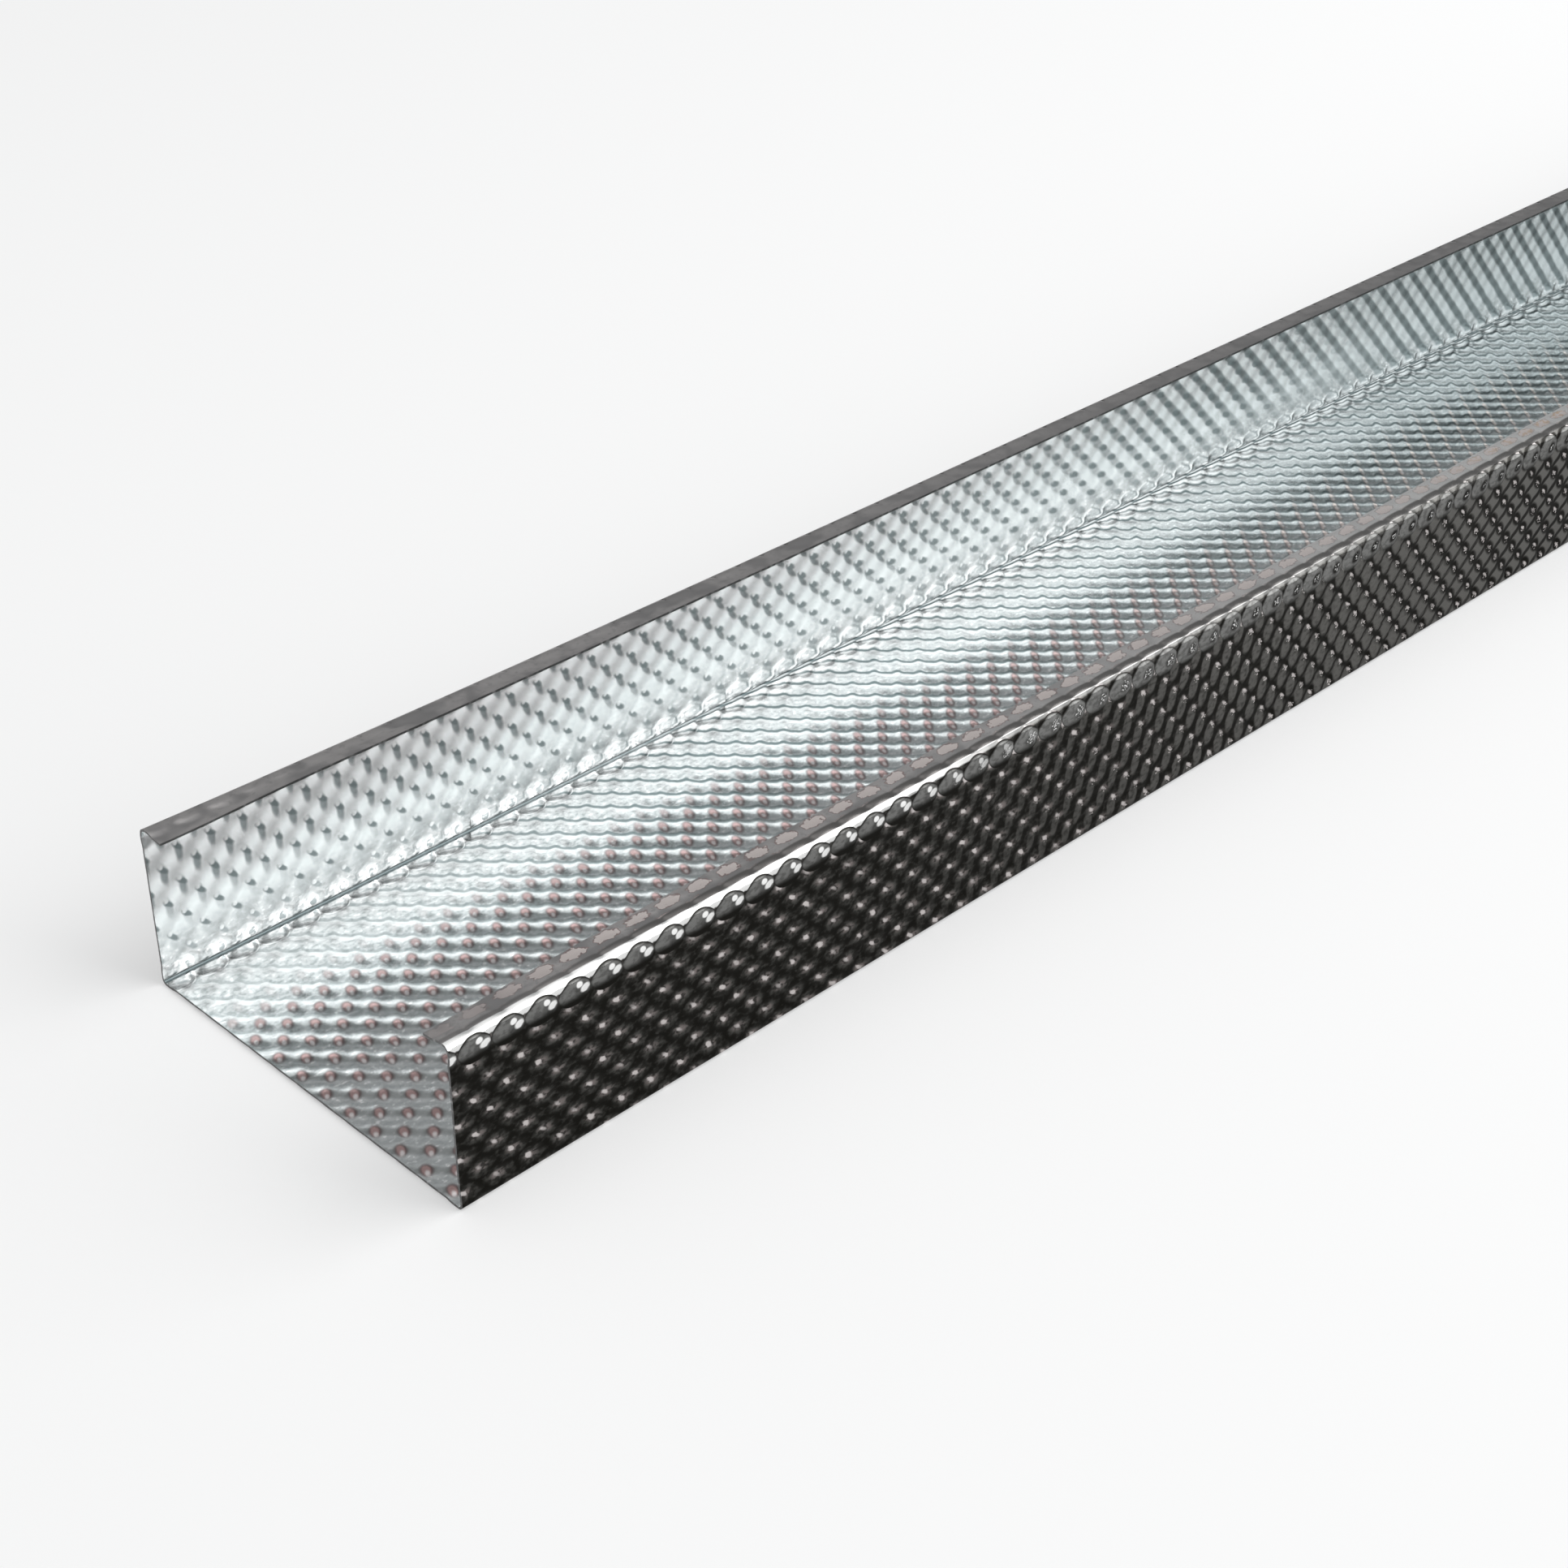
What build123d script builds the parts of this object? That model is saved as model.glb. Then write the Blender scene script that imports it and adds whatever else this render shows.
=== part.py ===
from build123d import *
import os

# Roll-formed wall stud of dimpled galvanised strip, lying on its web.
# Millimetres. The origin is at the middle of the web's underside: +X runs along
# the stud, away from the end that the photo shows, +Y points at the shorter
# flange and +Z points out of the open side.

# Stock
stock_length = 2400.0
sheet_gauge = 0.5

# Section, measured over the outside of the strip
web_width = 92.0
tall_flange_height = 36.0
short_flange_height = 35.0
lip_width = 7.0

# Cold bends
web_bend_inner_radius = 1.0
lip_bend_inner_radius = 2.0
lip_rise_degrees = 4.0

web_bend_outer_radius = web_bend_inner_radius + sheet_gauge
lip_bend_outer_radius = lip_bend_inner_radius + sheet_gauge
half_web = web_width / 2

with BuildPart() as wall_stud:
    # The strip's outer line, from the short flange's free edge round to the tall flange's
    with BuildSketch(Plane.YZ.offset(-stock_length / 2)) as section:
        with BuildLine():
            short_corner = (half_web, short_flange_height)
            tall_corner = (-half_web, tall_flange_height)
            short_lip = PolarLine(
                start=short_corner,
                length=lip_width,
                angle=180 - lip_rise_degrees,
                mode=Mode.PRIVATE,
            )
            tall_lip = PolarLine(
                start=tall_corner,
                length=lip_width,
                angle=lip_rise_degrees,
                mode=Mode.PRIVATE,
            )
            FilletPolyline(
                short_lip @ 1,
                short_corner,
                (half_web, 0),
                (-half_web, 0),
                tall_corner,
                tall_lip @ 1,
                radius=[
                    lip_bend_outer_radius,
                    web_bend_outer_radius,
                    web_bend_outer_radius,
                    lip_bend_outer_radius,
                ],
            )
            offset(amount=sheet_gauge, side=Side.RIGHT)
        make_face()
    extrude(amount=stock_length)

wall_stud.part.label = "wall_stud"

os.makedirs("parts", exist_ok=True)
export_step(wall_stud.part, "parts/wall_stud.step")
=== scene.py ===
"""Looks of a roll-formed wall stud in dimpled galvanised sheet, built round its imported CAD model."""

import logging
import math
from dataclasses import dataclass, field
from enum import Enum

import bpy
import numpy as np
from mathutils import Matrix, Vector


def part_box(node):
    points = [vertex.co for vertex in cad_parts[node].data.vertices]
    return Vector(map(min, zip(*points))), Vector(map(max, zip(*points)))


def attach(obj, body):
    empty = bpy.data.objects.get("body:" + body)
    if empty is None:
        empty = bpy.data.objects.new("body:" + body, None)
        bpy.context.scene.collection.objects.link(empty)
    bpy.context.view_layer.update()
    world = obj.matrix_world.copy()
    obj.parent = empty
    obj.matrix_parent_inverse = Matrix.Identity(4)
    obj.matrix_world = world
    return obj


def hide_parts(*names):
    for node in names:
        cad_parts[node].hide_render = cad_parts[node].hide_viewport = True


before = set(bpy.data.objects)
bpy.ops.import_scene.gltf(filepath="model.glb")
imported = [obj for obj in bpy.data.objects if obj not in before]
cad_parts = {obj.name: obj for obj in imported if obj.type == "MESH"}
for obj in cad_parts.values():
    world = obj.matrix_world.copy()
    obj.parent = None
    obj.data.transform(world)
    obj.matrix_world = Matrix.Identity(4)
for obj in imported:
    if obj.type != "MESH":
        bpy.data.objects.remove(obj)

NODE = "wall_stud"
BODY = "root"
UV_NAME = "strip"
TURN = 2 * math.pi

Socket = bpy.types.NodeSocket
Level = Socket | float
Colour = tuple[float, float, float]
Zone = tuple[float, float]

log = logging.getLogger("stud")


class Finish(Enum):
    """The faces of the strip, by material slot."""

    INNER = 0
    OUTER = 1
    CUT = 2


@dataclass(frozen=True)
class Run:
    """One straight or arc of the strip's middle line, in the section's plane."""

    q_start: float
    q_end: float
    start: Vector
    heading: Vector
    radius: float = 0.0
    turn: float = 0.0

    def place(self, q: np.ndarray) -> tuple[np.ndarray, np.ndarray]:
        """Finds points and inward normals along this run.

        Args:
            q: Developed lengths that lie on the run.

        Returns:
            Points and unit normals, each as rows of (y, z).
        """
        way = np.array(self.heading)
        left = np.array([-way[1], way[0]])
        start = np.array(self.start)
        share = (q - self.q_start) / (self.q_end - self.q_start)
        if not self.turn:
            length = self.q_end - self.q_start
            return start + np.outer(share * length, way), np.tile(left, (len(q), 1))
        angle = share * self.turn
        reach = np.outer(np.sin(angle), way) + np.outer(1 - np.cos(angle), left)
        return start + self.radius * reach, np.outer(np.cos(angle), left) - np.outer(np.sin(angle), way)


@dataclass(frozen=True)
class Section:
    """The bent strip, from the tall lip's free edge round to the short lip's.

    Sizes are measured over the outside, as on the CAD model. The developed length q is 0 at the
    middle of the web and grows towards the short flange.
    """

    half_web: float
    tall_flange: float = 0.036
    short_flange: float = 0.035
    lip: float = 0.007
    lip_rise: float = math.radians(4.0)
    gauge: float = 0.0005
    relief_depth: float = 0.0003
    web_bend: float = 0.0015
    lip_bend: float = 0.0025

    @property
    def inset(self) -> float:
        """How far the middle line lies inside the CAD model's outer faces."""
        return self.gauge / 2 + self.relief_depth

    def corners(self) -> list[Vector]:
        """Finds the middle line's free ends and sharp corners.

        Returns:
            Six (y, z) points, from the tall lip's free edge to the short lip's.
        """
        side = self.half_web - self.inset
        rise = math.tan(self.lip_rise)
        reach = self.lip - self.inset
        tall_top, short_top = self.tall_flange - self.inset, self.short_flange - self.inset
        return [
            Vector((-side + reach, tall_top + reach * rise)),
            Vector((-side, tall_top)),
            Vector((-side, self.inset)),
            Vector((side, self.inset)),
            Vector((side, short_top)),
            Vector((side - reach, short_top + reach * rise)),
        ]

    def runs(self) -> list[Run]:
        """Splits the middle line into straights and arcs.

        Returns:
            The runs in order; their q is measured on the true sheet's middle line.
        """
        points = self.corners()
        headings = [(b - a).normalized() for a, b in zip(points, points[1:])]
        turns = [-a.angle_signed(b) for a, b in zip(headings, headings[1:])]
        outer = [self.lip_bend, self.web_bend, self.web_bend, self.lip_bend]
        cuts = [0.0] + [(r - self.inset) * math.tan(t / 2) for r, t in zip(outer, turns)] + [0.0]
        runs, q = [], 0.0
        for k, heading in enumerate(headings):
            start = points[k] + heading * cuts[k]
            length = (points[k + 1] - points[k]).length - cuts[k] - cuts[k + 1]
            runs.append((q, q + length, start, heading, 0.0, 0.0))
            q += length
            if k < len(turns):
                arc = (outer[k] - self.gauge / 2) * turns[k]
                runs.append((q, q + arc, start + heading * length, heading, outer[k] - self.inset, turns[k]))
                q += arc
        middle = (runs[4][0] + runs[4][1]) / 2
        return [Run(a - middle, b - middle, *rest) for a, b, *rest in runs]

    def bends(self) -> list[float]:
        """Gives the developed length at the middle of each of the four bends."""
        return [(run.q_start + run.q_end) / 2 for run in self.runs() if run.turn]

    def place(self, q: np.ndarray) -> tuple[np.ndarray, np.ndarray]:
        """Finds the middle line's points and inward normals.

        Args:
            q: Developed lengths in rising order.

        Returns:
            Points and unit normals, each as rows of (y, z).
        """
        runs = self.runs()
        point, normal = np.zeros((len(q), 2)), np.zeros((len(q), 2))
        starts = np.array([run.q_start for run in runs[1:]])
        owner = np.searchsorted(starts, q, side="right")
        for k, run in enumerate(runs):
            here = owner == k
            point[here], normal[here] = run.place(q[here])
        return point, normal


@dataclass(frozen=True)
class Relief:
    """Dimples pressed from both sides on a square grid, and the bigger domes beside the bends."""

    depth: float
    wave_depth: float = 0.00018
    pitch: float = 0.007353
    first_crown: float = 0.009086
    web_phase: float = 0.011635
    flange_share: float = 0.45
    lip_share: float = 0.4
    flat_reach: float = 0.0009
    calm_reach: float = 0.0040
    dome_gap: float = 0.0018
    dome_width: float = 0.0037
    dome_height: float = 0.0023
    dome_base: float = 0.00015

    def grid(self, x: np.ndarray, q: np.ndarray) -> tuple[np.ndarray, np.ndarray]:
        """Gives places on the strip in dimple pitches along and across it."""
        return (x - self.first_crown) / self.pitch, (q + self.web_phase) / self.pitch

    def dome_rows(self, bends: list[float]) -> list[tuple[float, float]]:
        """Places the rows of domes beside the bends.

        Args:
            bends: The developed lengths of the middles of the bends.

        Returns:
            Each row's developed length and its shift along the stud in pitches.
        """
        rows = []
        for bend in bends:
            for side in (-1, 1):
                place = bend + side * self.dome_gap
                nearest = round(2 * (place + self.web_phase) / self.pitch)
                rows.append((place, 0.5 if nearest % 2 == 0 else 0.0))
        return rows

    def height(self, x: np.ndarray, q: np.ndarray, bends: list[float]) -> np.ndarray:
        """Works out how far the sheet stands in from its flat middle line.

        Args:
            x: Distances from the near cut end.
            q: Developed lengths across the strip.
            bends: The developed lengths of the middles of the four bends.

        Returns:
            Heights towards the channel's inside, in metres.
        """
        along, across = self.grid(x, q)
        wave = np.cos(TURN * along) * np.cos(TURN * across)
        on_lip = (q < bends[0]) | (q > bends[3])
        on_flange = ~on_lip & ((q < bends[1]) | (q > bends[2]))
        share = np.where(on_lip, self.lip_share, np.where(on_flange, self.flange_share, 1.0))
        total = self.wave_depth * share * wave
        for bend in bends:
            total = total * (1 - np.exp(-(((q - bend) / self.calm_reach) ** 4)))
        for place, shift in self.dome_rows(bends):
            off = (q - place) / self.dome_height
            side = (along - shift - np.round(along - shift)) * self.pitch / self.dome_width
            near = np.exp(-(off**4))
            cap = np.sqrt(np.clip(1 - side**2 - off**2, 0, 1))
            total = total * (1 - near) + (self.dome_base - (self.depth + self.dome_base) * cap) * near
        for bend in bends:
            flat = np.exp(-(((q - bend) / self.flat_reach) ** 4))
            total = total * (1 - flat) - self.depth * flat
        return total


@dataclass(frozen=True)
class EndSet:
    """How the cut end has sprung: the short flange stands up a little and both lips droop."""

    stand: float = 0.0016
    stand_reach: float = 0.060
    droop: float = 0.0012
    droop_reach: float = 0.022

    def move(self, x: np.ndarray, q: np.ndarray, z: np.ndarray, section: Section) -> np.ndarray:
        """Adds the spring of the near end to the heights.

        Args:
            x: Distances from the near cut end.
            q: Developed lengths across the strip.
            z: Heights above the floor.
            section: The strip's section.

        Returns:
            The changed heights.
        """
        bends = section.bends()
        high = np.clip(z / section.short_flange, 0, 1) ** 2 * (q > 0)
        up = self.stand * np.exp(-x / self.stand_reach) * high
        out = np.maximum(np.maximum(bends[0] - q, q - bends[3]), 0) / section.lip
        down = self.droop * np.exp(-((x / self.droop_reach) ** 2)) * out
        return z + up - down


@dataclass(frozen=True)
class SpanPlan:
    """How one length of the stud is meshed: its ends in dimple pitches and its steps a pitch."""

    name: str
    start: int
    end: int
    steps: int
    bend_steps: int


@dataclass
class StudSpan:
    """One length of the stud as a closed piece of folded, dimpled sheet."""

    plan: SpanPlan
    section: Section
    relief: Relief
    end_set: EndSet
    near_end: float
    length: float
    smooth_angle: float = math.radians(50.0)
    least_step: float = 0.25

    def across(self) -> np.ndarray:
        """Chooses the places across the strip where the mesh has its lines.

        Returns:
            Developed lengths in rising order, with extra lines round each bend.
        """
        step = self.relief.pitch / self.plan.steps
        phase = -self.relief.web_phase
        lines = []
        for run in self.section.runs():
            if run.turn:
                lines += list(np.linspace(run.q_start, run.q_end, self.plan.bend_steps + 1))
                continue
            first = math.ceil((run.q_start - phase) / step)
            last = math.floor((run.q_end - phase) / step)
            lines += [run.q_start, *(phase + k * step for k in range(first, last + 1)), run.q_end]
        return self.thin_out(sorted(lines), step)

    def along(self) -> np.ndarray:
        """Chooses the places along the stud where the mesh has its lines.

        Returns:
            Distances from the near cut end, on the dimple grid but for the cut ends.
        """
        step = self.relief.pitch / self.plan.steps
        first, last = self.plan.start * self.plan.steps, self.plan.end * self.plan.steps
        lines = [self.relief.first_crown + k * step for k in range(first, last + 1)]
        lines = [x for x in lines if 0 < x < self.length]
        if self.plan.start < 0:
            lines = [0.0, *lines]
        if self.relief.first_crown + last * step > self.length:
            lines = [*lines, self.length]
        return self.thin_out(lines, step)

    def thin_out(self, lines: list[float], step: float) -> np.ndarray:
        """Drops mesh lines that lie too close to the one before, but keeps both ends.

        Args:
            lines: Places of the mesh lines in rising order.
            step: The usual distance between them.

        Returns:
            The lines that stay.
        """
        least, last = step * self.least_step, lines[-1]
        kept = [lines[0]]
        for value in lines[1:-1]:
            if value - kept[-1] > least and last - value > least:
                kept.append(value)
        return np.array([*kept, last])

    def build(self) -> bpy.types.Object:
        """Adds the flat grid, folds and dimples it, and gives it the sheet's thickness.

        Returns:
            The finished piece.
        """
        xs, qs = self.along(), self.across()
        bpy.ops.object.select_all(action="DESELECT")
        bpy.ops.mesh.primitive_grid_add(x_subdivisions=len(xs) - 1, y_subdivisions=len(qs) - 1, size=2)
        piece = bpy.context.object
        piece.name = piece.data.name = self.plan.name
        self.fold(piece.data, xs, qs)
        self.thicken(piece)
        return piece

    def fold(self, mesh: bpy.types.Mesh, xs: np.ndarray, qs: np.ndarray) -> None:
        """Moves the flat grid's points onto the dimpled section and writes the strip's own UV map.

        Args:
            mesh: The grid, two units across each way.
            xs: Distances of the mesh lines from the near cut end.
            qs: Developed lengths of the mesh lines across the strip.
        """
        flat = np.zeros(len(mesh.vertices) * 3)
        mesh.vertices.foreach_get("co", flat)
        flat = flat.reshape(-1, 3)
        column = np.rint((flat[:, 0] + 1) / 2 * (len(xs) - 1)).astype(int)
        line = np.rint((flat[:, 1] + 1) / 2 * (len(qs) - 1)).astype(int)
        x, q = xs[column], qs[line]
        point, normal = self.section.place(qs)
        rise = self.relief.height(x, q, self.section.bends())
        place = point[line] + normal[line] * rise[:, None]
        z = self.end_set.move(x, q, place[:, 1], self.section)
        mesh.vertices.foreach_set("co", np.column_stack([self.near_end + x, place[:, 0], z]).ravel())
        corner = np.zeros(len(mesh.loops), int)
        mesh.loops.foreach_get("vertex_index", corner)
        for layer in list(mesh.uv_layers):
            mesh.uv_layers.remove(layer)
        layer = mesh.uv_layers.new(name=UV_NAME)
        layer.data.foreach_set("uv", np.column_stack([x[corner], q[corner]]).ravel())
        mesh.update()

    def thicken(self, piece: bpy.types.Object) -> None:
        """Gives the folded sheet its gauge, with a finish for each face and for the cut edges.

        Args:
            piece: The folded sheet, selected and active.
        """
        wall = piece.modifiers.new("gauge", "SOLIDIFY")
        wall.thickness = self.section.gauge
        wall.offset = 0.0
        wall.material_offset = Finish.OUTER.value
        wall.material_offset_rim = Finish.CUT.value
        for _ in Finish:
            piece.data.materials.append(None)
        bpy.ops.object.modifier_apply(modifier=wall.name)
        self.square_ends(piece.data)
        bpy.ops.object.shade_smooth_by_angle(angle=self.smooth_angle)

    def square_ends(self, mesh: bpy.types.Mesh) -> None:
        """Trims what the thickened sheet's slopes push past the two saw cuts.

        Args:
            mesh: The thickened piece.
        """
        place = np.zeros(len(mesh.vertices) * 3)
        mesh.vertices.foreach_get("co", place)
        place = place.reshape(-1, 3)
        place[:, 0] = place[:, 0].clip(self.near_end, self.near_end + self.length)
        mesh.vertices.foreach_set("co", place.ravel())
        mesh.update()


@dataclass
class Graph:
    """Short forms for wiring one node tree."""

    tree: bpy.types.NodeTree

    def node(self, kind: str, **settings: object) -> bpy.types.Node:
        """Adds a node and sets its properties.

        Args:
            kind: The node's type.
            settings: Its properties by name.

        Returns:
            The node.
        """
        made = self.tree.nodes.new(kind)
        for name, value in settings.items():
            setattr(made, name, value)
        return made

    def put(self, socket: Socket, value: object) -> None:
        """Links a socket to another one, or gives it a plain value.

        Args:
            socket: The input to feed.
            value: What feeds it.
        """
        if isinstance(value, Socket):
            self.tree.links.new(value, socket)
        else:
            socket.default_value = value

    def math(self, operation: str, *values: Level) -> Socket:
        """Works out one step of arithmetic on sockets or numbers.

        Args:
            operation: The math node's operation.
            values: What goes into it.

        Returns:
            The result.
        """
        made = self.node("ShaderNodeMath", operation=operation)
        for socket, value in zip(made.inputs, values):
            self.put(socket, value)
        return made.outputs[0]

    def chain(self, operation: str, values: tuple[Level, ...]) -> Level:
        """Takes any number of sockets or numbers together, two at a time.

        Args:
            operation: The math node's operation.
            values: What goes into it, from the first on.

        Returns:
            The result, or the value itself where there is only one.
        """
        result = values[0]
        for value in values[1:]:
            result = self.math(operation, result, value)
        return result

    def total(self, *values: Level) -> Level:
        """Adds up any number of sockets or numbers."""
        return self.chain("ADD", values)

    def product(self, *values: Level) -> Level:
        """Multiplies any number of sockets or numbers."""
        return self.chain("MULTIPLY", values)

    def rest(self, mask: Level) -> Socket:
        """Gives what a mask leaves free."""
        return self.math("SUBTRACT", 1.0, mask)

    def cosine(self, turns: Level) -> Socket:
        """Gives the cosine of an angle in full turns."""
        return self.math("COSINE", self.product(turns, TURN))

    def sine(self, turns: Level) -> Socket:
        """Gives the sine of an angle in full turns."""
        return self.math("SINE", self.product(turns, TURN))

    def off_whole(self, value: Level) -> Socket:
        """Gives how far a value is from the nearest whole number."""
        return self.math("SUBTRACT", value, self.math("ROUND", value))

    def ramp(self, value: Level, low: float, high: float, start: Level = 0.0, end: Level = 1.0) -> Socket:
        """Goes smoothly from one level to another.

        Args:
            value: What the level depends on.
            low: Where the change begins.
            high: Where it ends.
            start: The level before low.
            end: The level after high.

        Returns:
            The level.
        """
        made = self.node("ShaderNodeMapRange", interpolation_type="SMOOTHSTEP")
        if high < low:
            low, high, start, end = high, low, end, start
        self.put(made.inputs["Value"], value)
        for socket, level in (("From Min", low), ("From Max", high), ("To Min", start), ("To Max", end)):
            self.put(made.inputs[socket], level)
        return made.outputs["Result"]

    def oval(self, side: Socket, off: Socket, given: dict[str, Socket]) -> Socket:
        """Masks an oval round a middle.

        Args:
            side: How far a point lies from the middle along the stud.
            off: How far it lies from the middle across the strip.
            given: The oval's Width, Height and Softness.

        Returns:
            The mask.
        """
        wide = self.math("POWER", self.math("DIVIDE", side, given["Width"]), 2.0)
        tall = self.math("POWER", self.math("DIVIDE", off, given["Height"]), 2.0)
        reach = self.math("SQRT", self.total(wide, tall))
        return self.ramp(self.math("DIVIDE", self.rest(reach), given["Softness"]), -0.5, 0.5)

    def noise(self, vector: Socket, scale: float, detail: float) -> bpy.types.Node:
        """Adds a flat noise texture.

        Args:
            vector: Where on the strip.
            scale: How fine the noise is.
            detail: How many finer layers it has.

        Returns:
            The noise node.
        """
        made = self.node("ShaderNodeTexNoise", noise_dimensions="2D")
        for name, value in (("Vector", vector), ("Scale", scale), ("Detail", detail)):
            self.put(made.inputs[name], value)
        return made

    def blend(self, under: Colour | Socket, over: Colour | Socket, share: Level, how: str = "MIX") -> Socket:
        """Lays one colour over another.

        Args:
            under: The colour below.
            over: The colour on top.
            share: How much of the top one shows.
            how: The blend mode.

        Returns:
            The mixed colour.
        """
        made = self.node("ShaderNodeMix", data_type="RGBA", blend_type=how)
        self.put(made.inputs["Factor"], share)
        for name, value in (("A", under), ("B", over)):
            socket = next(s for s in made.inputs if s.name == name and s.type == "RGBA")
            self.put(socket, (*value, 1.0) if isinstance(value, tuple) else value)
        return next(s for s in made.outputs if s.type == "RGBA")

    def call(self, group: bpy.types.NodeTree, **values: Level) -> bpy.types.Node:
        """Adds a node group and feeds its inputs.

        Args:
            group: The group.
            values: What feeds each input, by its name in lower case.

        Returns:
            The group's node.
        """
        made = self.node("ShaderNodeGroup", node_tree=group)
        for name, value in values.items():
            self.put(made.inputs[name.capitalize()], value)
        return made


@dataclass
class Group(Graph):
    """A shader node group whose sockets are all plain numbers."""

    given: dict[str, Socket]
    sink: bpy.types.Node

    @classmethod
    def start(cls, name: str, inputs: tuple[str, ...], outputs: tuple[str, ...]) -> "Group":
        """Starts a node group.

        Args:
            name: The group's name.
            inputs: Names of its inputs.
            outputs: Names of its outputs.

        Returns:
            The group, with nothing wired yet.
        """
        tree = bpy.data.node_groups.new(name, "ShaderNodeTree")
        for titles, way in ((inputs, "INPUT"), (outputs, "OUTPUT")):
            for title in titles:
                tree.interface.new_socket(title, in_out=way, socket_type="NodeSocketFloat")
        source = tree.nodes.new("NodeGroupInput")
        sink = tree.nodes.new("NodeGroupOutput")
        return cls(tree, {title: source.outputs[title] for title in inputs}, sink)

    def give(self, title: str, value: Socket) -> None:
        """Feeds one of the group's outputs."""
        self.put(self.sink.inputs[title], value)


@dataclass(frozen=True)
class Grain:
    """One noise of the sheet's surface, drawn out along the stud."""

    title: str
    scale: float
    stretch: float
    detail: float


@dataclass
class Effects:
    """The node groups that the finishes share."""

    relief: Relief
    wobble: float = 0.0006
    wobble_scale: float = 260.0
    wobble_detail: float = 2.0
    grains: tuple[Grain, ...] = (
        Grain("Streak", 700.0, 0.45, 3.0),
        Grain("Speckle", 950.0, 0.7, 2.0),
        Grain("Cloud", 130.0, 0.8, 2.0),
        Grain("Flake", 2300.0, 0.8, 1.0),
    )
    place: bpy.types.NodeTree = field(init=False)
    spot: bpy.types.NodeTree = field(init=False)
    cap: bpy.types.NodeTree = field(init=False)
    grain: bpy.types.NodeTree = field(init=False)

    def __post_init__(self) -> None:
        """Builds the four groups."""
        self.place = self.make_place()
        self.spot = self.make_spot()
        self.cap = self.make_cap()
        self.grain = self.make_grain()

    def make_place(self) -> bpy.types.NodeTree:
        """Builds the group that tells where on the strip and in the dimple grid a point lies.

        Returns:
            The group. Its grid is a little wobbly, so that no mark is quite like the next.
        """
        group = Group.start("strip place", (), ("Along", "Across", "Rows", "Cross"))
        strip = group.node("ShaderNodeUVMap", uv_map=UV_NAME).outputs[0]
        split, shake = group.node("ShaderNodeSeparateXYZ"), group.node("ShaderNodeSeparateXYZ")
        group.put(split.inputs[0], strip)
        noise = group.noise(strip, self.wobble_scale, self.wobble_detail)
        group.put(shake.inputs[0], noise.outputs["Color"])
        along, across = (
            group.total(split.outputs[k], group.product(shake.outputs[k], self.wobble)) for k in range(2)
        )
        middle = self.wobble / 2
        pitch = self.relief.pitch
        column = group.math("DIVIDE", group.total(along, -self.relief.first_crown - middle), pitch)
        line = group.math("DIVIDE", group.total(across, self.relief.web_phase - middle), pitch)
        group.give("Along", split.outputs[0])
        group.give("Across", split.outputs[1])
        group.give("Rows", group.total(column, line))
        group.give("Cross", group.math("SUBTRACT", column, line))
        return group.tree

    def make_spot(self) -> bpy.types.NodeTree:
        """Builds the group that masks one leaning oval at the same place in every dimple.

        Returns:
            The group. Its sizes are in dimple pitches.
        """
        names = ("Rows", "Cross", "Right", "Up", "Width", "Height", "Lean", "Softness")
        group = Group.start("dimple spot", names, ("Mask",))
        right, up = group.given["Right"], group.given["Up"]
        row = group.off_whole(group.math("SUBTRACT", group.given["Rows"], group.total(right, up)))
        cross = group.math("SUBTRACT", group.given["Cross"], group.math("SUBTRACT", right, up))
        cross = group.off_whole(cross)
        off = group.product(group.math("SUBTRACT", row, cross), 0.5)
        side = group.product(group.total(row, cross), 0.5)
        side = group.math("SUBTRACT", side, group.product(off, group.given["Lean"]))
        group.give("Mask", group.oval(side, off, group.given))
        return group.tree

    def make_cap(self) -> bpy.types.NodeTree:
        """Builds the group that masks an oval once a pitch along one row of domes.

        Returns:
            The group. Right and Width are in pitches, Middle and Height in metres.
        """
        names = ("Rows", "Cross", "Across", "Right", "Middle", "Width", "Height", "Softness")
        group = Group.start("dome cap", names, ("Mask",))
        column = group.product(group.total(group.given["Rows"], group.given["Cross"]), 0.5)
        side = group.off_whole(group.math("SUBTRACT", column, group.given["Right"]))
        off = group.math("SUBTRACT", group.given["Across"], group.given["Middle"])
        group.give("Mask", group.oval(side, off, group.given))
        return group.tree

    def make_grain(self) -> bpy.types.NodeTree:
        """Builds the group for the sheet's fine streaks, spangle and cloudy patches.

        Returns:
            The group, with an output for each grain.
        """
        group = Group.start("zinc grain", (), tuple(grain.title for grain in self.grains))
        strip = group.node("ShaderNodeUVMap", uv_map=UV_NAME).outputs[0]
        for grain in self.grains:
            pull = group.node("ShaderNodeMapping")
            group.put(pull.inputs["Vector"], strip)
            pull.inputs["Scale"].default_value = (grain.stretch, 1.0, 1.0)
            group.give(grain.title, group.noise(pull.outputs[0], grain.scale, grain.detail).outputs[0])
        return group.tree


@dataclass(frozen=True)
class Stretch:
    """A stretch across the strip: its edges' developed lengths, and how far each fades either way."""

    low: float
    high: float
    soft: float


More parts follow.
